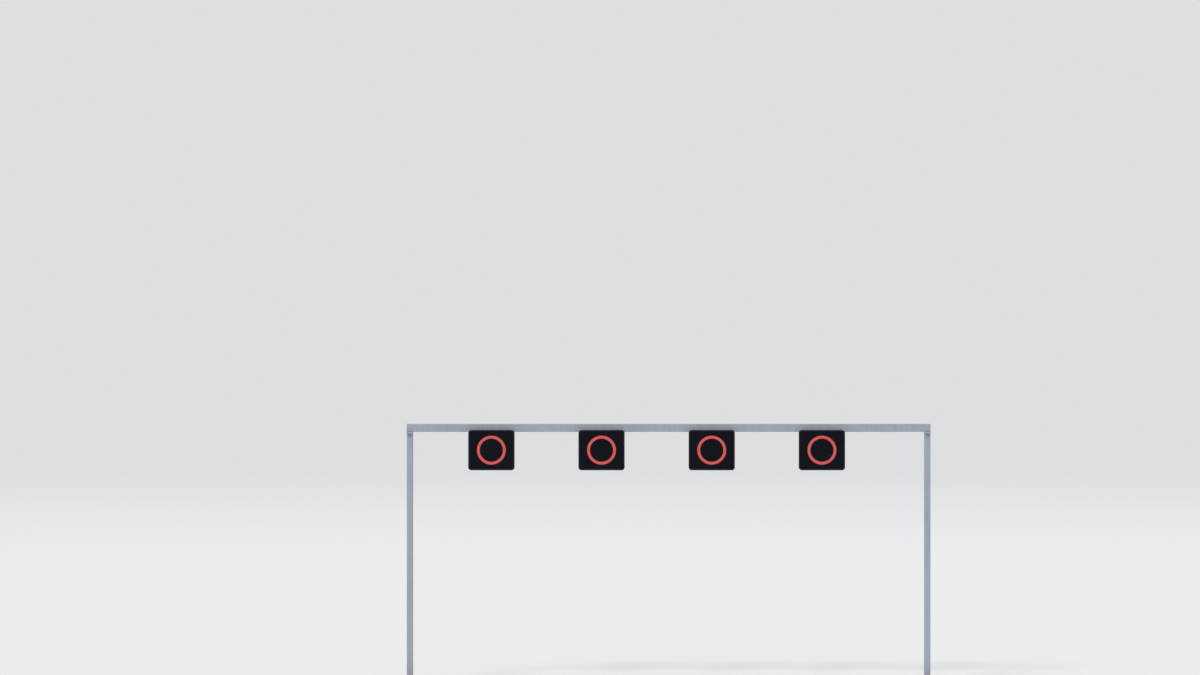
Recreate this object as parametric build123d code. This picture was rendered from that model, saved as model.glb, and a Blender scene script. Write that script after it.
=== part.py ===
from build123d import *
import os

# An overhead sign gantry: a steel portal of two legs and a beam, with nothing between them.
# Four signs hang under the beam in a row, each a black case with one red light ring.
# Lengths are millimetres. X runs along the beam, the signs face -Y and Z is up.
# The origin is under the left foot, as seen from the front, on the centre line of that leg.

# Portal
overall_width = 16670.0
overall_height = 8300.0
leg_width = 190.0
leg_depth = 300.0
leg_wall = 10.0
leg_corner = 25.0
beam_height = 250.0
beam_depth = 350.0
beam_wall = 10.0
beam_corner = 25.0
end_cap_thickness = 10.0

# Feet
base_width = 480.0
base_depth = 860.0
base_thickness = 40.0
base_corner = 30.0
base_cable_hole = 80.0
base_cable_shift = 75.0
anchor_hole = 42.0
anchor_edge = 60.0
gusset_thickness = 12.0
gusset_height = 240.0
gusset_clip = 20.0
gusset_toe = 40.0
gusset_crest = 25.0
gusset_reach_front = 240.0
gusset_reach_side = 125.0
gusset_spread_front = 120.0
gusset_spread_side = 200.0

# Access opening near the foot of each leg, and its cover
access_width = 110.0
access_height = 380.0
access_corner = 40.0
access_centre = 1000.0
cover_lap = 20.0
cover_thickness = 4.0
cover_rise = 6.0
cover_taper = 35.0

# Bolted joint between each leg and the beam
joint_depth = 490.0
joint_corner = 10.0
flange_thickness = 25.0
sole_thickness = 25.0
joint_bolt_hole = 26.0
joint_bolt_edge_x = 40.0
joint_bolt_edge_y = 35.0
joint_cable_hole = 80.0
flange_rib_reach = 80.0
flange_rib_height = 130.0
flange_rib_toe = 20.0
flange_rib_crest = 15.0
flange_rib_clip = 12.0
flange_rib_thickness = 12.0

# Places of the signs
sign_count = 4
sign_pitch = 3500.0
sign_row_shift = -380.0
sign_lap = 59.0
sign_gap = 15.0

# Sign case, of folded sheet
case_width = 1464.0
case_height = 1273.0
case_depth = 230.0
case_corner = 95.0
case_wall = 3.0
case_fold = 4.0
bezel_width = 35.0
bezel_return = 20.0
panel_lap = 12.0
panel_thickness = 4.0

# Light ring
ring_mean_radius = 413.5
ring_band = 95.0
ring_rise = 14.0
ring_bevel = 7.0

# Hanger: lugs under the beam, forked posts and rails
lug_thickness = 12.0
lug_width = 90.0
lug_corner = 25.0
hanger_bolt_hole = 22.0
hanger_bolt_drop = 65.0
hanger_bolt_pitch = 60.0
hanger_bolt_edge = 30.0
lug_clearance = 20.0
cheek_thickness = 10.0
head_width = 90.0
head_depth = 100.0
head_thickness = 10.0
head_corner = 8.0
post_spacing = 940.0
post_size = 70.0
post_wall = 5.0
post_corner = 10.0
post_stand_off = 30.0
post_foot_thickness = 5.0
post_foot_rise = 90.0
drain_hole = 12.0
rail_height = 60.0
rail_depth = 40.0
rail_wall = 4.0
rail_corner = 8.0
rail_inset = 45.0

# Tilt brackets between the posts and the case
bracket_height = 110.0
bracket_arm = 70.0
bracket_reach = 110.0
bracket_thickness = 6.0
bracket_bend = 5.0
bracket_corner = 15.0
tilt_bolt_hole = 14.0
tilt_slot_angle = 2.6
pivot_inset = 120.0
slide_inset = 150.0

# Service door on the rear of each case
door_width = 780.0
door_clearance = 25.0
door_tray = 18.0
door_corner = 15.0
door_skin = 2.5
door_lap = 25.0
louvre_length = 240.0
louvre_height = 22.0
louvre_rise = 9.0
louvre_skin = 1.5
louvre_pitch = 46.0
louvre_rows = 5
louvre_spread = 360.0
hinge_barrel = 18.0
hinge_length = 80.0
hinge_leaf = 34.0
hinge_leaf_thickness = 4.0
hinge_running_gap = 0.3
lock_size = 40.0
lock_rise = 6.0
lock_insert = 20.0
lock_insert_rise = 5.0
lock_key_slot = 4.0
lock_edge = 40.0
hardware_spread = 480.0

# Cable glands
gland_across_flats = 36.0
gland_hex_height = 10.0
gland_cap_radius = 16.0
gland_mouth_radius = 12.0
gland_cap_height = 20.0
gland_bore = 16.0
gland_side_shift = 200.0
gland_beam_inset = 115.0
gland_case_drop = 160.0

# Places that follow from the sizes above
leg_places = {"left": 0.0, "right": overall_width - leg_width}
beam_left = -leg_width / 2
beam_right = beam_left + overall_width
beam_underside = overall_height - beam_height
beam_axis_height = overall_height - beam_height / 2
flange_top = beam_underside - sole_thickness
leg_top = flange_top - flange_thickness
case_back = -(beam_depth / 2 + sign_gap)
case_front = case_back - case_depth
case_top = beam_underside + sign_lap
case_bottom = case_top - case_height
case_middle = case_top - case_height / 2
panel_front = case_front + bezel_return
post_y = case_back + post_stand_off + post_size / 2
lug_drop = hanger_bolt_drop + hanger_bolt_pitch + hanger_bolt_edge
head_top = beam_underside - lug_drop - lug_clearance
post_top = head_top - head_thickness
post_bottom = case_bottom + post_foot_rise
rail_heights = (post_top - rail_inset, post_bottom + rail_inset)
door_middle = sum(rail_heights) / 2
door_height = rail_heights[0] - rail_heights[1] - rail_height - 2 * door_clearance
pivot_height = post_bottom + pivot_inset
slide_height = post_top - slide_inset
tilt_radius = slide_height - pivot_height
gland_y = gland_beam_inset - beam_depth / 2
gland_height = case_top - gland_case_drop
sign_row_middle = leg_places["right"] / 2 + sign_row_shift
sign_places = [
    sign_row_middle + (i - (sign_count - 1) / 2) * sign_pitch for i in range(sign_count)
]


def facing_front(x, y, z):
    """Plane seen from the front: local Y is up and the normal is -Y."""
    return Plane((x, y, z), x_dir=(1, 0, 0), z_dir=(0, -1, 0))


def facing_rear(x, y, z):
    """Plane seen from behind: local Y is up and the normal is +Y."""
    return Plane((x, y, z), x_dir=(-1, 0, 0), z_dir=(0, 1, 0))


def facing_right(x, y, z):
    """Plane across the span: local X is +Y, local Y is up and the normal is +X."""
    return Plane((x, y, z), x_dir=(0, 1, 0), z_dir=(1, 0, 0))


def hollow_section(width, height, corner, wall):
    outside = RectangleRounded(width, height, corner)
    inside = RectangleRounded(width - 2 * wall, height - 2 * wall, corner - wall)
    return outside - inside


def rib(reach, height, toe, crest, clip, thickness):
    """Rib that stands on Z = 0 against a wall at X = 0, with its inner corner clipped."""
    outline = Polygon(
        (clip, 0), (reach, 0), (reach, toe), (crest, height), (0, height), (0, clip), align=None
    )
    return extrude(Plane.XZ * outline, thickness / 2, both=True)


def save(name, *shapes):
    solids = [solid for shape in shapes for solid in shape.solids()]
    export_step(Compound(solids), f"parts/{name}.step")


def base_plate(x):
    """Foot plate with three anchor holes along its front and rear edges and one for cables."""
    across = base_width / 2 - anchor_edge
    along = base_depth / 2 - anchor_edge
    anchors = [
        Pos(i * across, j * along) * Circle(anchor_hole / 2) for i in (-1, 0, 1) for j in (-1, 1)
    ]
    plan = RectangleRounded(base_width, base_depth, base_corner) - anchors
    plan -= Pos(0, base_cable_shift) * Circle(base_cable_hole / 2)
    return Pos(x, 0, 0) * extrude(plan, base_thickness)


def base_gussets(x):
    """Two ribs on each of the four faces of the leg."""
    shape = (gusset_height, gusset_toe, gusset_crest, gusset_clip, gusset_thickness)
    front = rib(gusset_reach_front, *shape)
    side = rib(gusset_reach_side, *shape)
    ribs = []
    for turn in (-1, 1):
        for place in (-1, 1):
            at_face = Pos(x + place * gusset_spread_front / 2, turn * leg_depth / 2, base_thickness)
            ribs.append(at_face * Rot(0, 0, turn * 90) * front)
            at_side = Pos(x + turn * leg_width / 2, place * gusset_spread_side / 2, base_thickness)
            ribs.append(at_side * Rot(0, 0, 90 - turn * 90) * side)
    return ribs


def leg(x):
    """Upright tube with an access opening through its rear wall."""
    section = hollow_section(leg_width, leg_depth, leg_corner, leg_wall)
    tube = extrude(Pos(x, 0, base_thickness) * section, leg_top - base_thickness)
    opening = RectangleRounded(access_width, access_height, access_corner)
    cut = extrude(facing_rear(x, leg_depth / 2, access_centre) * opening, 2 * leg_wall, both=True)
    return tube - cut


def access_cover(x):
    """Pressed cover that laps the access opening."""
    outline = RectangleRounded(
        access_width + 2 * cover_lap, access_height + 2 * cover_lap, access_corner + cover_lap
    )
    raised = RectangleRounded(access_width, access_height, access_corner)
    outer_face = leg_depth / 2 + cover_thickness
    sheet = extrude(facing_rear(x, leg_depth / 2, access_centre) * outline, cover_thickness)
    crown = extrude(facing_rear(x, outer_face, access_centre) * raised, cover_rise, taper=cover_taper)
    return sheet + crown


def joint_plate(x, bottom, thickness):
    """Plate that projects before and behind the tubes, where its bolts are."""
    across = leg_width / 2 - joint_bolt_edge_x
    along = joint_depth / 2 - joint_bolt_edge_y
    bolts = [Pos(i * across, j * along) * Circle(joint_bolt_hole / 2) for i in (-1, 1) for j in (-1, 1)]
    plan = chamfer(Rectangle(leg_width, joint_depth).vertices(), joint_corner) - bolts
    plan -= Circle(joint_cable_hole / 2)
    return Pos(x, 0, bottom) * extrude(plan, thickness)


def top_flange(x):
    """Flange on the leg, with one rib below it on the front and rear faces."""
    stiffener = rib(
        flange_rib_reach,
        flange_rib_height,
        flange_rib_toe,
        flange_rib_crest,
        flange_rib_clip,
        flange_rib_thickness,
    )
    flange = joint_plate(x, leg_top, flange_thickness)
    for turn in (-1, 1):
        at_face = Pos(x, turn * leg_depth / 2, leg_top)
        flange += at_face * Rot(0, 0, turn * 90) * Rot(180, 0, 0) * stiffener
    return flange


def beam():
    """Tube across both legs, with holes in its underside for the cables."""
    length = overall_width - 2 * end_cap_thickness
    section = hollow_section(beam_depth, beam_height, beam_corner, beam_wall)
    start = facing_right(beam_left + end_cap_thickness, 0, beam_axis_height)
    tube = extrude(start * section, length)
    cutter_height = 4 * beam_wall
    for x in leg_places.values():
        tube -= Pos(x, 0, beam_underside) * Cylinder(joint_cable_hole / 2, cutter_height)
    for x in sign_places:
        bore = Pos(x + gland_side_shift, gland_y, beam_underside)
        tube -= bore * Cylinder(gland_bore / 2, cutter_height)
    return tube


def end_cap(left_face):
    outline = RectangleRounded(beam_depth, beam_height, beam_corner)
    return extrude(facing_right(left_face, 0, beam_axis_height) * outline, end_cap_thickness)


def lug(x):
    """Fin under the beam with two bolt holes in a vertical line."""
    outline = Rectangle(lug_width, lug_drop, align=(Align.CENTER, Align.MAX))
    outline = chamfer(outline.vertices().group_by(Axis.Y)[0], lug_corner)
    outline -= hanger_bolts(0)
    plane = facing_right(x - lug_thickness / 2, post_y, beam_underside)
    return extrude(plane * outline, lug_thickness)


def hanger_bolts(below):
    """The two holes of a fork or lug, from a line that lies this far below the beam."""
    drops = (hanger_bolt_drop, hanger_bolt_drop + hanger_bolt_pitch)
    return [Pos(0, below - drop) * Circle(hanger_bolt_hole / 2) for drop in drops]


def hanger_post(x):
    """Square tube with a drained foot, a head plate and a fork that straddles its lug."""
    section = hollow_section(post_size, post_size, post_corner, post_wall)
    post = extrude(Pos(x, post_y, post_bottom) * section, post_top - post_bottom)
    foot = RectangleRounded(post_size, post_size, post_corner) - Circle(drain_hole / 2)
    post += extrude(Pos(x, post_y, post_bottom - post_foot_thickness) * foot, post_foot_thickness)
    head = chamfer(Rectangle(head_width, head_depth).vertices(), head_corner)
    post += extrude(Pos(x, post_y, post_top) * head, head_thickness)
    cheek_height = lug_drop + lug_clearance - hanger_bolt_drop + hanger_bolt_edge
    cheek = Rectangle(lug_width, cheek_height, align=(Align.CENTER, Align.MIN))
    cheek = chamfer(cheek.vertices().group_by(Axis.Y)[-1], lug_corner)
    cheek -= hanger_bolts(lug_drop + lug_clearance)
    for start in (-lug_thickness / 2 - cheek_thickness, lug_thickness / 2):
        post += extrude(facing_right(x + start, post_y, head_top) * cheek, cheek_thickness)
    return post


def hanger_rail(x, height):
    length = post_spacing - post_size
    section = hollow_section(rail_depth, rail_height, rail_corner, rail_wall)
    return extrude(facing_right(x - length / 2, post_y, height) * section, length)


def tilt_bracket(x, height, side, slotted):
    """Angle bracket: one arm on the case, the other along the outer side of the post."""
    bend = Polygon(
        (0, 0),
        (bracket_arm, 0),
        (bracket_arm, bracket_thickness),
        (bracket_thickness, bracket_thickness),
        (bracket_thickness, bracket_reach),
        (0, bracket_reach),
        align=None,
    )
    heel = bend.vertices().sort_by_distance((0, 0, 0))[:2]
    bend = fillet(heel, bracket_bend)
    bracket = extrude(bend, bracket_height / 2, both=True)
    tips = bracket.edges().filter_by(Axis.Y).sort_by(Axis.X)[-2:]
    tips += bracket.edges().filter_by(Axis.X).sort_by(Axis.Y)[-2:]
    bracket = chamfer(tips, bracket_corner)
    bolt_depth = post_y - case_back
    if slotted:
        swing = CenterArc((bolt_depth, -tilt_radius), tilt_radius, 90 - tilt_slot_angle / 2, tilt_slot_angle)
        hole = SlotArc(swing, tilt_bolt_hole)
    else:
        hole = Pos(bolt_depth, 0) * Circle(tilt_bolt_hole / 2)
    bracket -= extrude(facing_right(0, 0, 0) * hole, 2 * bracket_thickness, both=True)
    if side < 0:
        bracket = mirror(bracket, about=Plane.YZ)
    return Pos(x + side * (post_spacing + post_size) / 2, case_back, height) * bracket


def sign_case(x):
    """Folded tub: closed rear wall, open front with a bezel turned back to the panel."""
    back = facing_front(x, case_back, case_middle)
    outside = RectangleRounded(case_width, case_height, case_corner)
    inside = RectangleRounded(
        case_width - 2 * case_wall, case_height - 2 * case_wall, case_corner - case_wall
    )
    window = bezel_window(0)
    lip = bezel_window(case_wall) - window
    shell = extrude(back * outside, case_depth)
    front_edges = shell.faces().sort_by(Axis.Y)[0].edges()
    shell = fillet(front_edges, case_fold)
    cavity = facing_front(x, case_back - case_wall, case_middle) * inside
    shell -= extrude(cavity, case_depth - 2 * case_wall)
    shell -= extrude(facing_front(x, case_front, case_middle) * window, 2 * case_wall, both=True)
    turned_back = facing_front(x, panel_front, case_middle) * lip
    shell += extrude(turned_back, bezel_return - case_wall)
    doorway = RectangleRounded(door_width - 2 * door_lap, door_height - 2 * door_lap, door_corner)
    shell -= extrude(facing_front(x, case_back, door_middle) * doorway, 2 * case_wall, both=True)
    bore = facing_front(x + gland_side_shift, case_back, gland_height) * Circle(gland_bore / 2)
    shell -= extrude(bore, 2 * case_wall, both=True)
    return shell


def bezel_window(grow):
    """Outline of the opening in the bezel, grown on all sides."""
    inset = bezel_width - grow
    return RectangleRounded(case_width - 2 * inset, case_height - 2 * inset, case_corner - inset)


def front_panel(x):
    """Display panel, seated against the turned-back lip of the bezel."""
    plane = facing_front(x, panel_front + panel_thickness, case_middle)
    return extrude(plane * bezel_window(panel_lap), panel_thickness)


def light_ring(x):
    """Ring with bevelled flanks on the display panel."""
    inner = ring_mean_radius - ring_band / 2
    outer = ring_mean_radius + ring_band / 2
    profile = Polygon(
        (inner, 0), (outer, 0), (outer - ring_bevel, ring_rise), (inner + ring_bevel, ring_rise), align=None
    )
    ring = revolve(Plane.XZ * profile, Axis.Z)
    return facing_front(x, panel_front, case_middle) * ring


def louvre_sheet(height, rise, length):
    """Solid under the curved sheet of a louvre, open side down, centred on its length."""
    curve = EllipticalCenterArc((0, 0), rise, height, start_angle=0, arc_size=90)
    outline = make_face([curve, Line((0, height), (0, 0)), Line((0, 0), (rise, 0))])
    return extrude(facing_right(-length / 2, 0, 0) * outline, length)


def rear_door(x):
    """Pressed tray with two banks of louvres."""
    back = facing_rear(x, case_back, door_middle)
    outline = RectangleRounded(door_width, door_height, door_corner)
    inside = RectangleRounded(
        door_width - 2 * door_skin, door_height - 2 * door_skin, door_corner - door_skin
    )
    door = extrude(back * outline, door_tray)
    door -= extrude(back * inside, door_tray - door_skin)
    hood = louvre_sheet(louvre_height, louvre_rise, louvre_length)
    hollow = louvre_sheet(
        louvre_height - louvre_skin, louvre_rise - louvre_skin, louvre_length - 2 * louvre_skin
    )
    slot_plane = facing_rear(0, -2 * door_skin, 0)
    slot = Rectangle(
        louvre_length - 2 * louvre_skin, louvre_height - louvre_skin, align=(Align.CENTER, Align.MIN)
    )
    hollow += extrude(slot_plane * slot, 2 * door_skin)
    for side in (-1, 1):
        for row in range(louvre_rows):
            drop = (row - (louvre_rows - 1) / 2) * louvre_pitch + louvre_height / 2
            place = Pos(x + side * louvre_spread / 2, case_back + door_tray, door_middle - drop)
            door += place * hood
            door -= place * hollow
    return door


def door_hardware(x):
    """Two hinges on the left edge of the door and two quarter-turn locks by the right edge."""
    pieces = []
    barrel_radius = hinge_barrel / 2
    for up in (-1, 1):
        height = door_middle + up * hardware_spread / 2
        barrel_x = x - door_width / 2 - hinge_running_gap - barrel_radius
        barrel = Pos(barrel_x, case_back + barrel_radius, height) * Cylinder(barrel_radius, hinge_length)
        leaf = Pos(barrel_x, case_back, height) * Box(
            hinge_leaf, hinge_leaf_thickness, hinge_length, align=(Align.MAX, Align.MIN, Align.CENTER)
        )
        pieces.append(barrel + leaf)
        lock_x = x + door_width / 2 - lock_edge
        rose = Cone(lock_size / 2, lock_size / 2 - lock_rise / 2, lock_rise, align=at_base())
        rose += Pos(0, 0, lock_rise) * Cylinder(lock_insert / 2, lock_insert_rise, align=at_base())
        rose -= Pos(0, 0, lock_rise) * Box(
            lock_insert, lock_key_slot, lock_insert_rise + lock_rise, align=at_base()
        )
        pieces.append(facing_rear(lock_x, case_back + door_tray, height) * rose)
    return pieces


def at_base():
    return (Align.CENTER, Align.CENTER, Align.MIN)


def gland():
    """Cable gland that stands on Z = 0 with its mouth up."""
    body = extrude(
        RegularPolygon(gland_across_flats / 2, 6, major_radius=False), gland_hex_height
    )
    body += Pos(0, 0, gland_hex_height) * Cone(
        gland_cap_radius, gland_mouth_radius, gland_cap_height, align=at_base()
    )
    through = 2 * (gland_hex_height + gland_cap_height)
    return body - Cylinder(gland_bore / 2, through)


def cable_glands():
    glands = []
    for x in sign_places:
        side = x + gland_side_shift
        glands.append(Pos(side, gland_y, beam_underside) * Rot(180, 0, 0) * gland())
        glands.append(facing_rear(side, case_back, gland_height) * gland())
    return glands


os.makedirs("parts", exist_ok=True)

for side, x in leg_places.items():
    save(f"{side}_base_plate", base_plate(x))
    save(f"{side}_base_gussets", *base_gussets(x))
    save(f"{side}_leg", leg(x))
save("leg_access_covers", *[access_cover(x) for x in leg_places.values()])
save("leg_top_flanges", *[top_flange(x) for x in leg_places.values()])
save("beam", beam())
sole_plates = [joint_plate(x, flange_top, sole_thickness) for x in leg_places.values()]
save("beam_sole_plates", *sole_plates)
save("beam_end_caps", end_cap(beam_left), end_cap(beam_right - end_cap_thickness))
save("beam_sign_lugs", *[lug(x + side * post_spacing / 2) for x in sign_places for side in (-1, 1)])
save("cable_glands", *cable_glands())

for number, x in enumerate(sign_places, 1):
    sign = f"sign_{number}"
    save(f"{sign}_case", sign_case(x))
    save(f"{sign}_front_panel", front_panel(x))
    save(f"{sign}_light_ring", light_ring(x))
    save(f"{sign}_rear_door", rear_door(x))
    save(f"{sign}_door_hardware", *door_hardware(x))
    save(f"{sign}_hanger_posts", *[hanger_post(x + side * post_spacing / 2) for side in (-1, 1)])
    save(f"{sign}_hanger_rails", *[hanger_rail(x, height) for height in rail_heights])
    brackets = []
    for side in (-1, 1):
        brackets.append(tilt_bracket(x, pivot_height, side, slotted=False))
        brackets.append(tilt_bracket(x, slide_height, side, slotted=True))
    save(f"{sign}_tilt_brackets", *brackets)
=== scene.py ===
import math
import bmesh
import bpy
from mathutils import Matrix, Vector


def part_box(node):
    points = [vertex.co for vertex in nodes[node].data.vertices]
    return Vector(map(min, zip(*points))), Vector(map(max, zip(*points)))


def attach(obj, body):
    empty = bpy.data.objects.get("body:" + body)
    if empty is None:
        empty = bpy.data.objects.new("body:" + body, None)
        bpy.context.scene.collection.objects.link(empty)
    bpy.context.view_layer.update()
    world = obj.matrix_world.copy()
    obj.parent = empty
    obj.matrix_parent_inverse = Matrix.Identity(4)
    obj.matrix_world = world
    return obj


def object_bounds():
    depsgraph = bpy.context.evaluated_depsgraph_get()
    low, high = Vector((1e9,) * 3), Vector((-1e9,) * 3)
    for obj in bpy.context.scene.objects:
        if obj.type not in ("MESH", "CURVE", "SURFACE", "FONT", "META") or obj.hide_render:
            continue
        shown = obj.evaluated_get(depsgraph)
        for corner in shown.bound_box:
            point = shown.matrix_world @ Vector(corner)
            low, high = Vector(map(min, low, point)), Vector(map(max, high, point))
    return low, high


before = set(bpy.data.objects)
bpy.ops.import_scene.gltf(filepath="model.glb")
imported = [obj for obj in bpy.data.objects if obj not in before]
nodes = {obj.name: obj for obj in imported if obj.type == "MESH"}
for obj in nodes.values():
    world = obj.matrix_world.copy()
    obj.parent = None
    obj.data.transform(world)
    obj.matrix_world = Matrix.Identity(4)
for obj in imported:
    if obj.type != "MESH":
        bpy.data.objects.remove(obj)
cad_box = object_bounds()


# Legs, beam and their plates
# Hollow sections and plates of structural steel, welded, galvanised and sprayed satin blue-grey.
# Rain draws faint upright streaks down the coat, and dirty spray greys the foot of each leg.
class Signal:
    """An output socket of a material that can be added, multiplied and subtracted like a number."""

    def __init__(self, tree, socket):
        self.tree = tree
        self.socket = socket

    def node(self, kind, sockets, output=0, **settings):
        """Adds a node, sets it up, then fills its sockets with numbers, colours or signals."""
        added = self.tree.nodes.new("ShaderNode" + kind)
        for name, value in settings.items():
            setattr(added, name, value)
        for key, value in sockets.items():
            if isinstance(value, Signal):
                self.tree.links.new(value.socket, added.inputs[key])
            else:
                added.inputs[key].default_value = value
        return Signal(self.tree, added.outputs[output])

    def __add__(self, other):
        return self.node("Math", {0: self, 1: other}, operation="ADD")

    def __rsub__(self, other):
        return self.node("Math", {0: other, 1: self}, operation="SUBTRACT")

    def __mul__(self, other):
        return self.node("Math", {0: self, 1: other}, operation="MULTIPLY")

    __radd__ = __add__
    __rmul__ = __mul__

    def noise(self, scale, detail=2.0, roughness=0.5):
        """Cloudy noise over this position, with so many clouds to the metre."""
        settings = {"Vector": self, "Scale": scale, "Detail": detail, "Roughness": roughness}
        return self.node("TexNoise", settings)

    def stretched(self, x, y, z):
        """This position with each axis multiplied."""
        return self.node("Mapping", {"Vector": self, "Scale": (x, y, z)})

    def ramp(self, start, end, low=0.0, high=1.0):
        """Eases from low to high while this signal goes from start to end."""
        limits = {"Value": self, "From Min": start, "From Max": end, "To Min": low, "To Max": high}
        return self.node("MapRange", limits, interpolation_type="SMOOTHSTEP")

    def between(self, first, second):
        """The first colour where this signal is 0 and the second where it is 1."""
        return self.node("Mix", {0: self, 6: first, 7: second}, output=2, data_type="RGBA")

    def bump(self, depth, strength=1.0):
        """Relief of this depth in metres."""
        return self.node("Bump", {"Height": self, "Distance": depth, "Strength": strength})

    def facing_up(self):
        """1 on level faces that look up and 0 on upright ones."""
        normal = self.node("NewGeometry", {}, output=1)
        return normal.node("SeparateXYZ", {0: normal}, output=2).ramp(0.4, 1.0)

    def facing_front(self):
        """1 on faces that look to the front and 0 on those that turn half away."""
        normal = self.node("NewGeometry", {}, output=1)
        return normal.node("SeparateXYZ", {0: normal}, output=1).ramp(-0.6, -0.97)


def new_finish(name):
    """A new material, and the place on the piece as a signal."""
    material = bpy.data.materials.new(name)
    material.use_nodes = True
    tree = material.node_tree
    coordinates = tree.nodes.new("ShaderNodeTexCoord")
    return material, Signal(tree, coordinates.outputs["Object"])


def set_shader(material, **sockets):
    """Fills the sockets of the material's own shader, with underscores in place of spaces."""
    shader = material.node_tree.nodes["Principled BSDF"]
    for name, value in sockets.items():
        socket = shader.inputs[name.replace("_", " ")]
        if isinstance(value, Signal):
            material.node_tree.links.new(value.socket, socket)
        else:
            socket.default_value = value


def coat(names, material):
    """Gives CAD pieces their finish."""
    for name in names:
        nodes[name].data.materials.clear()
        nodes[name].data.materials.append(material)


def ease_arrises(names, radius):
    """Rounds the sharp edges of CAD plates with modifiers, which leave their own meshes alone."""
    for name in names:
        finish = nodes[name].modifiers
        finish.new("joined", "WELD").merge_threshold = facet_gap
        flats = finish.new("flats", "DECIMATE")
        flats.decimate_type = "DISSOLVE"
        flats.angle_limit = math.radians(flat_angle)
        rounding = finish.new("arris", "BEVEL")
        rounding.width = radius
        rounding.segments = 2
        rounding.limit_method = "ANGLE"
        rounding.angle_limit = math.radians(arris_angle)
        finish.new("shading", "WEIGHTED_NORMAL").keep_sharp = True


facet_gap = 2e-5
flat_angle = 1
arris_angle = 50
plate_arris = 0.0015
paint_light = (0.330, 0.368, 0.425, 1.0)
paint_dark = (0.286, 0.320, 0.371, 1.0)
spray_grey = (0.235, 0.222, 0.200, 1.0)
settled_dust = (0.330, 0.325, 0.310, 1.0)
spray_top = 0.9

blue_grey_paint, place = new_finish("blue_grey_paint")
above_ground = place.node("SeparateXYZ", {0: place}, output=2)
clouds = place.noise(0.5, 3.0)
mottle = place.noise(9.0, 4.0)
grit = place.noise(28.0, 6.0, 0.65)
streaks = place.stretched(26.0, 26.0, 0.6).noise(1.0, 3.0)
upward = place.facing_up()
shade = (1 - upward) * (0.4 * clouds + 0.25 * mottle + 0.35 * streaks).ramp(0.36, 0.64)
spray = above_ground.ramp(spray_top, 0.0) * (0.6 * mottle + 0.4 * grit).ramp(0.35, 0.7, 0.25, 0.6)
dust = upward * (0.4 * mottle + 0.6 * grit).ramp(0.42, 0.58, 0.08, 0.7)
painted = dust.between(shade.between(paint_dark, paint_light), settled_dust)
set_shader(
    blue_grey_paint,
    Base_Color=spray.between(painted, spray_grey),
    Roughness=0.36 + 0.12 * mottle + 0.3 * spray,
    Normal=place.noise(420.0).bump(0.0003, 0.5),
)
sides = ("left", "right")
numbers = (1, 2, 3, 4)
plates = [f"{side}_{part}" for side in sides for part in ("base_plate", "base_gussets")]
plates += ["leg_access_covers", "leg_top_flanges", "beam_sole_plates", "beam_end_caps", "beam_sign_lugs"]
coat(plates + ["left_leg", "right_leg", "beam"], blue_grey_paint)
ease_arrises(plates, plate_arris)


# Weld beads of the portal
# Fillet welds laid by hand in the corners where plates meet the tubes, then painted over.
# Each run is a slim rod, half sunk in its corner, whose girth swells at every ripple.
quarter_turn = math.pi / 2
ripple = 0.008
ripple_depth = 0.12
least_ripples = 3
run_end_girth = 0.6
bead_rise = 0.3
bead_crease = 100
stop_short = 0.004
corner_lap = 0.002
foot_bead = 0.007
joint_bead = 0.006
leg_corner = 0.025
gusset_half = 0.006
gusset_clip = 0.020
gusset_offset_front = 0.060
gusset_offset_side = 0.100


def as_mesh(shape, name="shape", crease=35):
    """Turns a bmesh into a mesh, smooth except where it bends by more degrees than the crease."""
    bmesh.ops.recalc_face_normals(shape, faces=shape.faces)
    mesh = bpy.data.meshes.new(name)
    shape.to_mesh(mesh)
    shape.free()
    mesh.shade_smooth()
    mesh.set_sharp_from_angle(angle=math.radians(crease))
    return mesh


def facing(point, direction, turn=0.0):
    """The place of a shape that stands at this point with its Z axis this way, turned about it."""
    lean = Vector((0, 0, 1)).rotation_difference(Vector(direction)).to_matrix().to_4x4()
    return Matrix.Translation(point) @ lean @ Matrix.Rotation(turn, 4, "Z")


def scatter(joined, mesh, places):
    """Adds a copy of the mesh to a bmesh at each place."""
    for matrix in places:
        copy = mesh.copy()
        copy.transform(matrix)
        joined.from_mesh(copy)
        bpy.data.meshes.remove(copy)


def add_piece(name, mesh, material):
    """Makes a mesh a piece that rides on the gantry."""
    mesh.name = name
    mesh.materials.append(material)
    piece = bpy.data.objects.new(name, mesh)
    bpy.context.scene.collection.objects.link(piece)
    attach(piece, "root")
    return piece


def upright_edges(shape):
    """The edges of a bmesh that climb along the Z axis."""
    return [edge for edge in shape.edges if abs(edge.verts[0].co.z - edge.verts[1].co.z) > facet_gap]


def ringed_rod(radius, length, girths, segments):
    """A rod on Z = 0 with a ring of corners for each girth, which is a share of the radius."""
    rod = bmesh.new()
    bmesh.ops.create_cone(
        rod, cap_ends=True, segments=segments, radius1=radius, radius2=radius, depth=length
    )
    last = len(girths) - 1
    bmesh.ops.subdivide_edges(rod, edges=upright_edges(rod), cuts=last - 1)
    for vertex in rod.verts:
        vertex.co.xy *= girths[round((vertex.co.z / length + 0.5) * last)]
    bmesh.ops.translate(rod, vec=(0, 0, length / 2), verts=rod.verts)
    return rod


def bead_rings(length):
    """How many steps a run of this length takes, two to each ripple."""
    return 2 * max(least_ripples, round(length / ripple))


def lay_bead(welds, start, end, radius, short=stop_short):
    """Lays one straight run between two points, a little short of both."""
    run = Vector(end) - Vector(start)
    start = Vector(start) + run.normalized() * short
    run -= run.normalized() * 2 * short
    swell = [1.0 - ripple_depth * (ring % 2) for ring in range(1, bead_rings(run.length))]
    rod = ringed_rod(radius, run.length, [run_end_girth, *swell, run_end_girth], segments=6)
    scatter(welds, as_mesh(rod, crease=bead_crease), [facing(start, run)])


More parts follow.
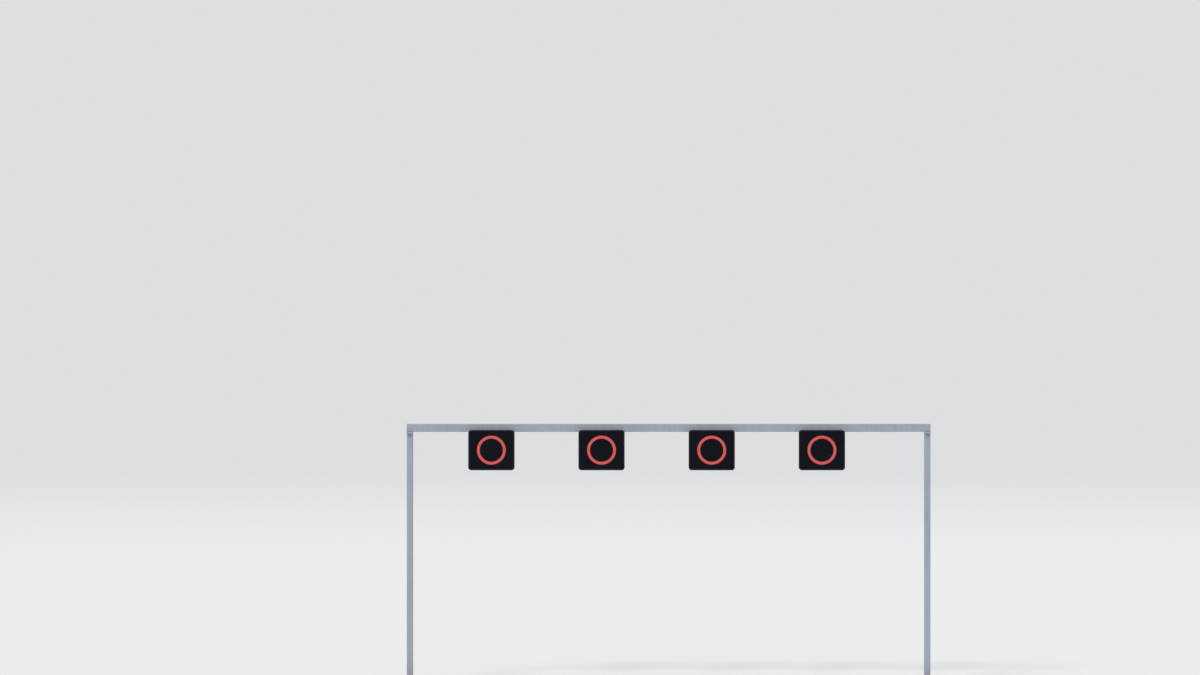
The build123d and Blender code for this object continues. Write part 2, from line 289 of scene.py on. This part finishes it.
def corner_bead(bend, radius):
    """A quarter turn round a tube's rounded corner, from +X to +Y about the Z axis."""
    rod = bmesh.new()
    steps = bead_rings(bend * quarter_turn)
    ring = bmesh.ops.create_circle(rod, cap_ends=False, segments=6, radius=radius)["verts"]
    upright = Matrix.Translation((bend, 0, 0)) @ Matrix.Rotation(quarter_turn, 4, "X")
    bmesh.ops.transform(rod, matrix=upright, verts=ring)
    section = rod.verts[:] + rod.edges[:]
    bmesh.ops.spin(rod, geom=section, cent=(0, 0, 0), axis=(0, 0, 1), angle=quarter_turn, steps=steps)
    bmesh.ops.holes_fill(rod, edges=[edge for edge in rod.edges if edge.is_boundary])
    for vertex in rod.verts:
        step = round(math.atan2(vertex.co.y, vertex.co.x) / quarter_turn * steps)
        core = Vector((vertex.co.x, vertex.co.y, 0)).normalized() * bend
        vertex.co = core + (vertex.co - core) * (1.0 - ripple_depth * (step % 2))
    return as_mesh(rod, crease=bead_crease)


def bead_round(width, depth, corner, radius):
    """A run right round a tube that stands on the origin."""
    welds = bmesh.new()
    x, y = width / 2, depth / 2
    for turn in (-1, 1):
        lay_bead(welds, (corner - x, turn * y, 0), (x - corner, turn * y, 0), radius, -corner_lap)
        lay_bead(welds, (turn * x, corner - y, 0), (turn * x, y - corner, 0), radius, -corner_lap)
    quarter = corner_bead(corner, radius)
    for i, (right, back) in enumerate(((1, 1), (-1, 1), (-1, -1), (1, -1))):
        centre = (right * (x - corner), back * (y - corner), 0)
        scatter(welds, quarter, [facing(centre, (0, 0, 1), i * quarter_turn)])
    return as_mesh(welds, crease=bead_crease)


def box_size(low, high):
    """Width, depth and height of a box."""
    return high.x - low.x, high.y - low.y, high.z - low.z


def box_middle(low, high):
    """The point in the middle of a box."""
    return (low + high) / 2


leg_low, leg_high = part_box("left_leg")
leg_width, leg_depth, _ = box_size(leg_low, leg_high)
plate_low, plate_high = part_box("left_base_plate")
_, gusset_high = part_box("left_base_gussets")
leg_middles = [box_middle(*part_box(f"{side}_leg")).x for side in sides]

welds = bmesh.new()
foot_level = plate_high.z + bead_rise * foot_bead
for radius, level in ((foot_bead, foot_level), (joint_bead, leg_high.z - bead_rise * joint_bead)):
    collar = bead_round(leg_width, leg_depth, leg_corner, radius)
    scatter(welds, collar, [Matrix.Translation((x, 0, level)) for x in leg_middles])
for leg_x in leg_middles:
    for turn in (-1, 1):
        for spread in (-gusset_offset_front, gusset_offset_front):
            for cheek in (-gusset_half, gusset_half):
                x, y = leg_x + spread + cheek, turn * leg_depth / 2
                start, end = y + turn * gusset_clip, turn * gusset_high.y
                lay_bead(welds, (x, start, foot_level), (x, end, foot_level), foot_bead)
                lay_bead(welds, (x, y, plate_high.z + gusset_clip), (x, y, gusset_high.z), foot_bead)
        for spread in (-gusset_offset_side, gusset_offset_side):
            for cheek in (-gusset_half, gusset_half):
                x, y = leg_x + turn * leg_width / 2, spread + cheek
                start, end = x + turn * gusset_clip, leg_x + turn * gusset_high.x
                lay_bead(welds, (start, y, foot_level), (end, y, foot_level), foot_bead)
                lay_bead(welds, (x, y, plate_high.z + gusset_clip), (x, y, gusset_high.z), foot_bead)
add_piece("portal_welds", as_mesh(welds, crease=bead_crease), blue_grey_paint)


# Anchor bolts
# Six galvanised M36 anchors hold each foot plate by a washer, a nut and a second, thinner nut.
# The other sizes of a bolt are shares of its size, which is the diameter of its thread.
zinc_light = (0.56, 0.57, 0.58, 1.0)
zinc_dark = (0.46, 0.47, 0.49, 1.0)
anchor_size = 0.036
anchor_inset = 0.060
anchor_end = 0.020
flats_share = 1.5
nut_share = 0.85
thin_nut_share = 0.5
head_share = 0.63
washer_share = 0.15
washer_bore_share = 1.08
washer_rim_share = 1.86
pitch_share = 0.11
pitch_extra = 0.0004
thread_root = 0.86
face_of_flats = 0.46
chamfer_angle = 30
fastener_turn = 2.4

bright_zinc, place = new_finish("bright_zinc")
flake = place.noise(320.0, 2.0)
set_shader(
    bright_zinc,
    Base_Color=flake.ramp(0.35, 0.65).between(zinc_dark, zinc_light),
    Roughness=0.34 + 0.16 * flake,
    Metallic=1.0,
    Normal=place.noise(900.0).bump(0.0001, 0.5),
)


def hexagon(size, height):
    """A nut or bolt head on Z = 0 with round faces and its corners turned off."""
    flats = flats_share * size
    corner = flats / math.sqrt(3)
    face_radius = face_of_flats * flats
    shape = bmesh.new()
    bmesh.ops.create_cone(shape, cap_ends=True, segments=6, radius1=corner, radius2=corner, depth=height)
    uprights = upright_edges(shape)
    rims = [edge for edge in shape.edges if edge not in uprights]
    bmesh.ops.subdivide_edges(shape, edges=rims, cuts=1)
    caps = [face for face in shape.faces if len(face.verts) == 12]
    bmesh.ops.inset_individual(shape, faces=caps, thickness=flats / 2 - face_radius)
    for cap in caps:
        for vertex in cap.verts:
            vertex.co.xy = vertex.co.xy.normalized() * face_radius
    turned_off = (corner - flats / 2) * math.tan(math.radians(chamfer_angle))
    for vertex in shape.verts:
        if vertex.co.xy.length > (corner + flats / 2) / 2:
            vertex.co.z -= math.copysign(turned_off, vertex.co.z)
    bmesh.ops.translate(shape, vec=(0, 0, height / 2), verts=shape.verts)
    return as_mesh(shape)


def washer(size):
    """A plain washer on Z = 0."""
    inner, outer = washer_bore_share * size / 2, washer_rim_share * size / 2
    thick = washer_share * size
    shape = bmesh.new()
    places = (inner, 0, 0), (inner, 0, thick), (outer, 0, thick), (outer, 0, 0)
    corners = [shape.verts.new(place) for place in places]
    section = corners + [shape.edges.new((corners[i - 1], corners[i])) for i in range(4)]
    bmesh.ops.spin(
        shape, geom=section, cent=(0, 0, 0), axis=(0, 0, 1), angle=2 * math.pi, steps=24, use_merge=True
    )
    return as_mesh(shape)


def threads(size, length):
    """A threaded end on Z = 0 with a groove at each turn and a chamfered tip."""
    turns = max(2, round(length / (pitch_share * size + pitch_extra)))
    girths = [1.0, thread_root] * turns + [thread_root]
    return as_mesh(ringed_rod(size / 2, length, girths, segments=14))


def stack(*layers):
    """One mesh of shapes that stand on each other, from pairs of a mesh and its height."""
    joined = bmesh.new()
    level = 0.0
    for mesh, thickness in layers:
        scatter(joined, mesh, [Matrix.Translation((0, 0, level))])
        level += thickness
    return as_mesh(joined)


def nut_side(size, length, nuts=1):
    """Washer, nuts and thread end of a bolt, on Z = 0."""
    tall, thin = nut_share * size, thin_nut_share * size
    locks = [(hexagon(size, thin), thin)] * (nuts - 1)
    end = (threads(size, length), length)
    return stack((washer(size), washer_share * size), (hexagon(size, tall), tall), *locks, end)


def head_side(size):
    """Washer and hexagon head of a bolt, on Z = 0."""
    tall = head_share * size
    return stack((washer(size), washer_share * size), (hexagon(size, tall), tall))


def fasten(joined, mesh, places):
    """Sets a fastener at each pair of a point and a direction, every one turned to another angle."""
    for i, (point, direction) in enumerate(places):
        scatter(joined, mesh, [facing(point, direction, fastener_turn * i)])


up, down = (0, 0, 1), (0, 0, -1)
across = (plate_high.x - plate_low.x) / 2 - anchor_inset
along = plate_high.y - anchor_inset
places = []
for x in leg_middles:
    places += [((x + i * across, j * along, plate_high.z), up) for i in (-1, 0, 1) for j in (-1, 1)]
anchors = bmesh.new()
fasten(anchors, nut_side(anchor_size, anchor_end, nuts=2), places)
add_piece("anchor_bolts", as_mesh(anchors), bright_zinc)


# Screws and seals of the access covers
# Each pressed cover is held by six plated socket screws and seats on a black rubber strip.
# The sockets need a special key, so that the cable connections stay out of reach.
screw_size = 0.008
dome_foot_share = 0.95
dome_top_share = 0.62
dome_share = 0.5
socket_rim_share = 0.22
socket_depth_share = 0.3
cover_screw_x = 0.065
cover_screw_steps = (-0.12, 0.0, 0.12)
cover_border = 0.004
cover_corner = 0.060
rubber_proud = 0.003
rubber_width = 0.005
rubber_thickness = 0.003
rubber_black = (0.012, 0.012, 0.013, 1.0)
rubber_bloom = (0.024, 0.024, 0.025, 1.0)

black_rubber, place = new_finish("black_rubber")
bloom = place.noise(60.0, 3.0)
set_shader(
    black_rubber,
    Base_Color=bloom.ramp(0.4, 0.7).between(rubber_black, rubber_bloom),
    Roughness=0.62 + 0.2 * bloom,
    Specular_IOR_Level=0.3,
    Normal=place.noise(700.0).bump(0.0002, 0.4),
)


def socket_screw(size):
    """A domed screw head on Z = 0 with a socket."""
    foot, top, height = dome_foot_share * size, dome_top_share * size, dome_share * size
    shape = bmesh.new()
    bmesh.ops.create_cone(shape, cap_ends=True, segments=12, radius1=foot, radius2=top, depth=height)
    bmesh.ops.translate(shape, vec=(0, 0, height / 2), verts=shape.verts)
    cap = max(shape.faces, key=lambda face: face.calc_center_median().z)
    bmesh.ops.inset_individual(shape, faces=[cap], thickness=socket_rim_share * size)
    sunk = bmesh.ops.extrude_discrete_faces(shape, faces=[cap])["faces"]
    floor = {vertex for face in sunk for vertex in face.verts}
    bmesh.ops.translate(shape, vec=(0, 0, -socket_depth_share * size), verts=list(floor))
    return as_mesh(shape)


def strip_round(width, height, corner, band, thickness):
    """A flat strip on Z = 0 round a rounded rectangle. The size is its outer edge's."""
    shape = bmesh.new()
    bmesh.ops.create_grid(shape, x_segments=1, y_segments=1, size=0.5)
    bmesh.ops.scale(shape, vec=(width, height, 1), verts=shape.verts)
    bmesh.ops.bevel(
        shape, geom=shape.verts[:], offset=corner, affect="VERTICES", segments=12, profile=0.5, material=-1
    )
    outline = shape.faces[:]
    bmesh.ops.inset_region(shape, faces=outline, thickness=band, use_boundary=True, use_even_offset=True)
    inner = [face for face in shape.faces if len(face.verts) > 4]
    bmesh.ops.delete(shape, geom=inner, context="FACES_ONLY")
    raised = bmesh.ops.extrude_face_region(shape, geom=shape.faces[:])["geom"]
    upper = [item for item in raised if isinstance(item, bmesh.types.BMVert)]
    bmesh.ops.translate(shape, vec=(0, 0, thickness), verts=upper)
    return as_mesh(shape)


cover_low, cover_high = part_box("leg_access_covers")
cover_middle = box_middle(cover_low, cover_high).z
cover_face = leg_depth / 2 + cover_border
front, rear = (0, -1, 0), (0, 1, 0)
outline = 2 * (cover_high.x - leg_middles[1] + rubber_proud), cover_high.z - cover_low.z + 2 * rubber_proud
seal = strip_round(*outline, cover_corner + rubber_proud, rubber_width, rubber_thickness)
places = []
for x in leg_middles:
    for side_x in (x - cover_screw_x, x + cover_screw_x):
        places += [((side_x, cover_face, cover_middle + step), rear) for step in cover_screw_steps]
screws, seals = bmesh.new(), bmesh.new()
fasten(screws, socket_screw(screw_size), places)
scatter(seals, seal, [facing((x, leg_depth / 2, cover_middle), rear) for x in leg_middles])
add_piece("access_cover_screws", as_mesh(screws), bright_zinc)
add_piece("access_cover_seals", as_mesh(seals), black_rubber)


# Bolts and welds where the beam sits on the legs
# Four M24 bolts at each end clamp the sole plate under the beam to the flange of the leg.
# The plates are fillet-welded to their tubes, and a seam that is ground flush on top closes each cap.
joint_size = 0.024
joint_end = 0.010
joint_bolt_x = 0.055
joint_bolt_y = 0.210
joint_gusset_reach = 0.080
joint_gusset_clip = 0.012
beam_corner = 0.025
rib_bead_rise = 0.2
sole_bead = 0.010
sole_bead_inset = 0.010
sole_bead_rise = 0.00625
cap_bead = 0.004
cap_ground = 0.006

flange_low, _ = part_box("leg_top_flanges")
_, sole_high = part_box("beam_sole_plates")
beam_low, beam_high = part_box("beam")
flange_underside = leg_high.z
bolts, welds = bmesh.new(), bmesh.new()
for leg_x in leg_middles:
    corners = [(leg_x + i * joint_bolt_x, j * joint_bolt_y) for i in (-1, 1) for j in (-1, 1)]
    fasten(bolts, head_side(joint_size), [((x, y, sole_high.z), up) for x, y in corners])
    nut = nut_side(joint_size, joint_end)
    fasten(bolts, nut, [((x, y, flange_underside), down) for x, y in corners])
    for j in (-1, 1):
        y = j * (beam_high.y - sole_bead_inset)
        level = sole_high.z + sole_bead_rise
        lay_bead(welds, (leg_x - leg_width / 2, y, level), (leg_x + leg_width / 2, y, level), sole_bead)
        for cheek in (-gusset_half, gusset_half):
            x, y = leg_x + cheek, j * leg_depth / 2
            lay_bead(welds, (x, y, flange_underside - joint_gusset_clip), (x, y, flange_low.z), joint_bead)
            level = flange_underside - rib_bead_rise * joint_bead
            start, end = y + j * joint_gusset_clip, y + j * joint_gusset_reach
            lay_bead(welds, (x, start, level), (x, end, level), joint_bead)
_, beam_depth, beam_height = box_size(beam_low, beam_high)
cap_seam = bead_round(beam_height - cap_ground, beam_depth, beam_corner, cap_bead)
cap_level = box_middle(beam_low, beam_high).z - cap_ground / 2
scatter(welds, cap_seam, [facing((x, 0, cap_level), (1, 0, 0)) for x in (beam_low.x, beam_high.x)])
add_piece("joint_bolts", as_mesh(bolts), bright_zinc)
add_piece("joint_welds", as_mesh(welds, crease=bead_crease), blue_grey_paint)


# Hangers of the signs
# Two square posts with forked heads are bolted to lugs under the beam and tied by two rails.
# Two M20 bolts go through each fork, and the forks, rails and lugs are welded all round.
post_x = 0.470
hanger_y = -0.125
hanger_drops = (0.065, 0.125)
hanger_size = 0.020
hanger_end = 0.008
lug_bead = 0.005
lug_half = 0.006
lug_half_width = 0.045
cheek_outside = 0.016
post_half = 0.035
post_corner = 0.010
post_cap = 0.010
rail_corner = 0.008
rail_height = 0.060
fork_drop = 0.035
fork_length = 0.140

coat([f"sign_{n}_{part}" for n in numbers for part in ("hanger_posts", "hanger_rails")], blue_grey_paint)
ease_arrises([f"sign_{n}_hanger_posts" for n in numbers], plate_arris)
sign_middles = [box_middle(*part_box(f"sign_{n}_case")).x for n in numbers]


def sign_box(part):
    """The box of one of a sign's CAD pieces, with the sign's middle at X = 0."""
    low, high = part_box(f"sign_1_{part}")
    shift = Vector((sign_middles[0], 0, 0))
    return low - shift, high - shift


def add_to_signs(part, mesh, material):
    """Gives every sign its copy of a mesh that was made for a sign with its middle at X = 0."""
    for number, x in zip(numbers, sign_middles):
        copy = mesh.copy()
        copy.transform(Matrix.Translation((x, 0, 0)))
        add_piece(f"sign_{number}_{part}", copy, material)
    bpy.data.meshes.remove(mesh)


rails_low, rails_high = sign_box("hanger_rails")
rail_depth = rails_high.y - rails_low.y
head_top = beam_low.z - fork_drop - fork_length
heads, nuts, welds = [], [], bmesh.new()
rail_collar = bead_round(rail_height, rail_depth, rail_corner, lug_bead)
post_collar = bead_round(2 * post_half, 2 * post_half, post_corner, lug_bead)
for side in (-1, 1):
    x = side * post_x
    for drop in hanger_drops:
        level = beam_low.z - drop
        heads.append(((x + side * cheek_outside, hanger_y, level), (side, 0, 0)))
        nuts.append(((x - side * cheek_outside, hanger_y, level), (-side, 0, 0)))
    for cheek in (-1, 1):
        lug_face, fork_face = x + cheek * lug_half, x + cheek * cheek_outside
        ends = hanger_y - lug_half_width, hanger_y + lug_half_width
        lay_bead(welds, (lug_face, ends[0], beam_low.z), (lug_face, ends[1], beam_low.z), lug_bead)
        lay_bead(welds, (fork_face, ends[0], head_top), (fork_face, ends[1], head_top), lug_bead)
    scatter(welds, post_collar, [Matrix.Translation((x, hanger_y, head_top - post_cap))])
    for level in (rails_high.z - rail_height / 2, rails_low.z + rail_height / 2):
        point = (side * (post_x - post_half), hanger_y, level)
        scatter(welds, rail_collar, [facing(point, (side, 0, 0))])
bolts = bmesh.new()
fasten(bolts, head_side(hanger_size), heads)
fasten(bolts, nut_side(hanger_size, hanger_end), nuts)
add_to_signs("hanger_bolts", as_mesh(bolts), bright_zinc)
add_to_signs("hanger_welds", as_mesh(welds, crease=bead_crease), blue_grey_paint)


# Tilt brackets
# Folded stainless angles join the case to the posts, so that the sign can be set leaning forward.
# The lower M12 bolts are the pivots, and the upper ones slide in a short curved slot.
stainless_light = (0.52, 0.53, 0.54, 1.0)
stainless_dark = (0.40, 0.41, 0.42, 1.0)
tilt_size = 0.012
tilt_end = 0.005
case_bolt_size = 0.010
bracket_thickness = 0.006
bracket_bolt_x = 0.547
bracket_bolt_rise = 0.030
bracket_half_height = 0.055
bracket_arris = 0.0008

brushed_stainless, place = new_finish("brushed_stainless")
scratches = place.stretched(30.0, 500.0, 900.0).noise(1.0, 2.0)
smears = place.noise(25.0, 3.0)
set_shader(
    brushed_stainless,
    Base_Color=(0.5 * scratches + 0.5 * smears).ramp(0.38, 0.62).between(stainless_dark, stainless_light),
    Roughness=0.30 + 0.18 * smears + 0.1 * scratches,
    Metallic=1.0,
    Normal=scratches.bump(0.0001, 0.35),
)
coat([f"sign_{n}_tilt_brackets" for n in numbers], brushed_stainless)
ease_arrises([f"sign_{n}_tilt_brackets" for n in numbers], bracket_arris)

brackets_low, brackets_high = sign_box("tilt_brackets")
case_low, case_high = sign_box("case")
bracket_levels = (brackets_low.z + bracket_half_height, brackets_high.z - bracket_half_height)
heads, nuts, case_heads = [], [], []
for side in (-1, 1):
    outer_face = side * (post_x + post_half + bracket_thickness)
    inner_face = side * (post_x - post_half)
    for level in bracket_levels:
        heads.append(((outer_face, hanger_y, level), (side, 0, 0)))
        nuts.append(((inner_face, hanger_y, level), (-side, 0, 0)))
        for rise in (-bracket_bolt_rise, bracket_bolt_rise):
            point = (side * bracket_bolt_x, case_high.y + bracket_thickness, level + rise)
            case_heads.append((point, rear))
bolts = bmesh.new()
fasten(bolts, head_side(tilt_size), heads)
fasten(bolts, nut_side(tilt_size, tilt_end), nuts)
fasten(bolts, head_side(case_bolt_size), case_heads)
add_to_signs("tilt_bolts", as_mesh(bolts), bright_zinc)


# Sign cases
# A tub of folded aluminium sheet with rounded corners and a narrow bezel, open for the display.
# It is powder-coated near black with a fine grain, and dust settles on its top.
coat_black = (0.0045, 0.0055, 0.0080, 1.0)
coat_worn = (0.0075, 0.0085, 0.0110, 1.0)
case_dust = (0.060, 0.058, 0.055, 1.0)

powder_coat, place = new_finish("black_powder_coat")
grain = place.noise(650.0, 2.0)
patches = place.noise(3.5, 4.0)
dust = place.facing_up() * patches.ramp(0.3, 0.7, 0.15, 0.7)
set_shader(
    powder_coat,
    Base_Color=dust.between(patches.ramp(0.35, 0.65).between(coat_black, coat_worn), case_dust),
    Roughness=0.36 + 0.16 * patches + 0.2 * dust,
    Specular_IOR_Level=0.26,
    Normal=grain.bump(0.0004, 0.6),
)
coat([f"sign_{n}_{part}" for n in numbers for part in ("case", "rear_door")], powder_coat)


# Bezel frames
# The bezel is a folded frame that slides over the front of the tub and is coated with it.
# Its flange shows as a thin step round the case, held by a row of small screws along each side.
flange_thickness = 0.0016
flange_width = 0.042
flange_setback = 0.004
flange_lap = 0.0008
side_screw_size = 0.005
side_screw_gap = 0.21
side_screw_setback = 0.025
case_corner = 0.095

case_middle = box_middle(case_low, case_high)
case_width, _, case_height = box_size(case_low, case_high)
outline = case_width + 2 * flange_thickness, case_height + 2 * flange_thickness
band = strip_round(*outline, case_corner + flange_thickness, flange_thickness + flange_lap, flange_width)
band.transform(facing((0, case_low.y + flange_setback, case_middle.z), rear))
add_to_signs("bezel_flange", band, powder_coat)

row_y = case_low.y + side_screw_setback
half_width, half_height = outline[0] / 2, outline[1] / 2


def screw_row(reach):
    """Places of the screws along a straight stretch that reaches this far both ways."""
    count = round(2 * reach / side_screw_gap)
    return [reach * (2 * i / count - 1) for i in range(count + 1)]


places = []
for turn in (-1, 1):
    for x in screw_row(case_width / 2 - case_corner):
        places.append(((x, row_y, case_middle.z + turn * half_height), (0, 0, turn)))
    for z in screw_row(case_height / 2 - case_corner):
        places.append(((turn * half_width, row_y, case_middle.z + z), (turn, 0, 0)))
screws = bmesh.new()
fasten(screws, socket_screw(side_screw_size), places)
add_to_signs("bezel_screws", as_mesh(screws), bright_zinc)


# Display panels
# A matt black plastic panel behind the bezel carries a square grid of light points, all unlit here.
# Each point is a low lens of smoked plastic, so that daylight does not show it.
panel_black = (0.0030, 0.0040, 0.0075, 1.0)
panel_worn = (0.0042, 0.0053, 0.0095, 1.0)
lens_dark = (0.008, 0.009, 0.013, 1.0)
point_pitch = 0.0215
point_radius = 0.0050
point_top_radius = 0.00275
point_height = 0.0025
bezel = 0.035
ring_band = 0.095
window_corner = 0.060

panel_plastic, place = new_finish("panel_plastic")
set_shader(
    panel_plastic,
    Base_Color=place.noise(5.0, 3.0).ramp(0.35, 0.65).between(panel_black, panel_worn),
    Roughness=0.62 + 0.12 * place.noise(12.0),
    Specular_IOR_Level=0.07,
    Normal=place.noise(900.0).bump(0.0002, 0.5),
)
coat([f"sign_{n}_front_panel" for n in numbers], panel_plastic)

smoked_lens, place = new_finish("smoked_lens")
set_shader(
    smoked_lens,
    Base_Color=place.noise(40.0).ramp(0.4, 0.6).between(panel_black, lens_dark),
    Roughness=0.24 + 0.1 * place.noise(90.0),
    Specular_IOR_Level=0.22,
)

ring_low, ring_high = sign_box("light_ring")
panel_low, _ = sign_box("front_panel")
window_x = case_high.x - bezel
window_z = (case_high.z - case_low.z) / 2 - bezel
reach_x, reach_z = window_x - point_pitch, window_z - point_pitch
ring_outer = (ring_high.x - ring_low.x) / 2
ring_inner = ring_outer - ring_band

point = bmesh.new()
bmesh.ops.create_cone(
    point, cap_ends=True, segments=6, radius1=point_radius, radius2=point_top_radius, depth=point_height
)
bmesh.ops.translate(point, vec=(0, 0, point_height / 2), verts=point.verts)
point = as_mesh(point)
columns, rows = int(reach_x / point_pitch), int(reach_z / point_pitch)
places = []
for column in range(-columns, columns + 1):
    for row in range(-rows, rows + 1):
        x, z = column * point_pitch, row * point_pitch
        radius = math.hypot(x, z)
        corner_x, corner_z = abs(x) - reach_x + window_corner, abs(z) - reach_z + window_corner
        in_corner = corner_x > 0 and corner_z > 0 and math.hypot(corner_x, corner_z) > window_corner
        on_ring = ring_inner - point_radius < radius < ring_outer + point_radius
        if not in_corner and not on_ring:
            places.append(facing((x, panel_low.y, case_middle.z + z), front))
points = bmesh.new()
scatter(points, point, places)
add_to_signs("light_points", as_mesh(points), smoked_lens)


# Seals round the display
# A black rubber strip fills the corner between the turned-back bezel and the panel.
# It lies flat on the panel and keeps rain and dust out of the case.
seal_band = 0.006
seal_thickness = 0.004

seal = strip_round(2 * window_x, 2 * window_z, window_corner, seal_band, seal_thickness)
seal.transform(facing((0, panel_low.y, case_middle.z), front))
add_to_signs("window_seal", seal, black_rubber)


# Light rings
# A moulded red diffuser, lit from behind, with four rows of small domed lenses on its face.
# The lenses gather the light, so that they stand out a little brighter than the ring.
ring_red = (0.376, 0.043, 0.040, 1.0)
ring_glow = (0.430, 0.055, 0.050, 1.0)
ring_deep = (0.100, 0.006, 0.005, 1.0)
# The darker rim colour is painted shade for the edge of each domed lens.
lens_rim_painted_shade = (0.460, 0.074, 0.070, 1.0)
lens_red = (0.710, 0.155, 0.146, 1.0)
lens_glow = (0.790, 0.188, 0.178, 1.0)
lens_radius = 0.0070
lens_height = 0.0030
lens_rows = 4
lens_row_gap = 0.020
lens_gap = 0.0215

lit_diffuser, place = new_finish("lit_diffuser")
set_shader(
    lit_diffuser,
    Base_Color=ring_deep,
    Emission_Color=place.noise(18.0).ramp(0.3, 0.7).between(ring_red, ring_glow),
    Emission_Strength=1.0,
    Roughness=0.35 + 0.1 * place.noise(60.0),
    Specular_IOR_Level=0.3,
)
lit_lens, place = new_finish("lit_lens")
# Painted shade: the lens glow dims from the core to a darker rim as each face turns away from the front,
# so that the flat glow reads as a dome.
lens_core = place.noise(30.0).ramp(0.3, 0.7).between(lens_red, lens_glow)
set_shader(
    lit_lens,
    Base_Color=ring_deep,
    Emission_Color=place.facing_front().between(lens_rim_painted_shade, lens_core),
    Emission_Strength=1.0,
    Roughness=0.12 + 0.06 * place.noise(60.0),
)
coat([f"sign_{n}_light_ring" for n in numbers], lit_diffuser)

dome = bmesh.new()
bmesh.ops.create_uvsphere(dome, u_segments=10, v_segments=6, radius=lens_radius)
lower = [vertex for vertex in dome.verts if vertex.co.z < -facet_gap]
bmesh.ops.delete(dome, geom=lower, context="VERTS")
bmesh.ops.holes_fill(dome, edges=[edge for edge in dome.edges if edge.is_boundary])
bmesh.ops.scale(dome, vec=(1, 1, lens_height / lens_radius), verts=dome.verts)
dome = as_mesh(dome)
places = []
for row in range(lens_rows):
    radius = (ring_inner + ring_outer) / 2 + (row - (lens_rows - 1) / 2) * lens_row_gap
    count = round(2 * math.pi * radius / lens_gap)
    for i in range(count):
        angle = 2 * math.pi * (i + 0.5 * (row % 2)) / count
        point = (radius * math.cos(angle), ring_low.y, case_middle.z + radius * math.sin(angle))
        places.append(facing(point, front))
lenses = bmesh.new()
scatter(lenses, dome, places)
add_to_signs("ring_lenses", as_mesh(lenses), lit_lens)


# Service doors and their fittings
# Each pressed door closes on a black rubber strip that shows as a thin line round its edge.
# It hangs on two stainless hinges on one side and is held by two quarter-turn locks on the other.
coat([f"sign_{n}_door_hardware" for n in numbers], brushed_stainless)
door_low, door_high = sign_box("rear_door")
door_corner = 0.015
door_width, _, door_height = box_size(door_low, door_high)
outline = door_width + 2 * rubber_proud, door_height + 2 * rubber_proud
seal = strip_round(*outline, door_corner + rubber_proud, rubber_width, rubber_thickness)
seal.transform(facing((0, case_high.y, box_middle(door_low, door_high).z), rear))
add_to_signs("door_seal", seal, black_rubber)


# Cable glands
# Moulded black nylon glands, one under the beam and one on the back of each case.
# Each has a hexagon to hold it by and a tapered cap with an open mouth.
gland_black = (0.016, 0.016, 0.018, 1.0)
gland_worn = (0.026, 0.026, 0.028, 1.0)

gland_nylon, place = new_finish("gland_nylon")
moulding = place.noise(35.0, 3.0)
set_shader(
    gland_nylon,
    Base_Color=moulding.ramp(0.35, 0.65).between(gland_black, gland_worn),
    Roughness=0.46 + 0.14 * moulding,
    Normal=place.noise(800.0).bump(0.0001, 0.5),
)
coat(["cable_glands"], gland_nylon)


# Studio
# A pale floor that fades into an even pale backdrop, under one soft sun and one weak fill.
# The floor is a wide disc that turns clear towards its edge, so that no horizon shows.
backdrop_colour = (0.72, 0.735, 0.755, 1.0)
floor_colour = (0.80, 0.80, 0.79, 1.0)
floor_radius = 400.0
fade_start = 60.0
fade_end = 240.0

middle = box_middle(*cad_box).x

disc = bmesh.new()
bmesh.ops.create_circle(disc, cap_ends=True, segments=96, radius=floor_radius)
bmesh.ops.translate(disc, vec=(middle, 0, 0), verts=disc.verts)
floor = bpy.data.objects.new("studio_floor", as_mesh(disc, "studio_floor"))
bpy.context.scene.collection.objects.link(floor)
pale_floor, place = new_finish("pale_floor")
distance = place.node("VectorMath", {0: place, 1: (middle, 0, 0)}, output=1, operation="DISTANCE")
set_shader(
    pale_floor,
    Base_Color=floor_colour,
    Roughness=0.9,
    Specular_IOR_Level=0.1,
    Alpha=distance.ramp(fade_end, fade_start),
)
floor.data.materials.append(pale_floor)

world = bpy.data.worlds.new("studio")
world.use_nodes = True
world.node_tree.nodes["Background"].inputs["Color"].default_value = backdrop_colour
bpy.context.scene.world = world


def add_sun(name, azimuth, elevation, strength, softness):
    """A soft sun that shines from this side and height, in degrees. Azimuth 0 is the front."""
    lamp = bpy.data.lights.new(name, "SUN")
    lamp.energy = strength
    lamp.angle = math.radians(softness)
    sun = bpy.data.objects.new(name, lamp)
    sun.rotation_euler = (math.radians(90 - elevation), 0, math.radians(azimuth))
    bpy.context.scene.collection.objects.link(sun)


add_sun("key", azimuth=-32, elevation=42, strength=1.2, softness=14)
add_sun("fill", azimuth=150, elevation=35, strength=0.35, softness=30)


# Camera
# A long lens far in front of the gantry, level and a little above the beam, as in the reference.
# Its focal length follows from the distance between two signs in the picture.
picture_width = 1200
picture_height = 675
sign_pitch_pixels = 110
middle_column = 668.6
horizon_row = 360.0
beam_top_row = 424.0
camera_distance = 120.0
sensor = 36.0

pixels_per_metre = sign_pitch_pixels / (sign_middles[1] - sign_middles[0])
lens = bpy.data.cameras.new("camera")
lens.sensor_width = sensor
lens.lens = sensor * pixels_per_metre * camera_distance / picture_width
lens.shift_x = (picture_width / 2 - middle_column) / picture_width
lens.shift_y = (horizon_row - picture_height / 2) / picture_width
lens.clip_end = 3000
camera = bpy.data.objects.new("camera", lens)
eye_level = beam_high.z + (beam_top_row - horizon_row) / pixels_per_metre
camera.location = (middle, beam_low.y - camera_distance, eye_level)
camera.rotation_euler = (quarter_turn, 0, 0)
bpy.context.scene.collection.objects.link(camera)
bpy.context.scene.camera = camera
bpy.context.scene.view_settings.view_transform = "Standard"
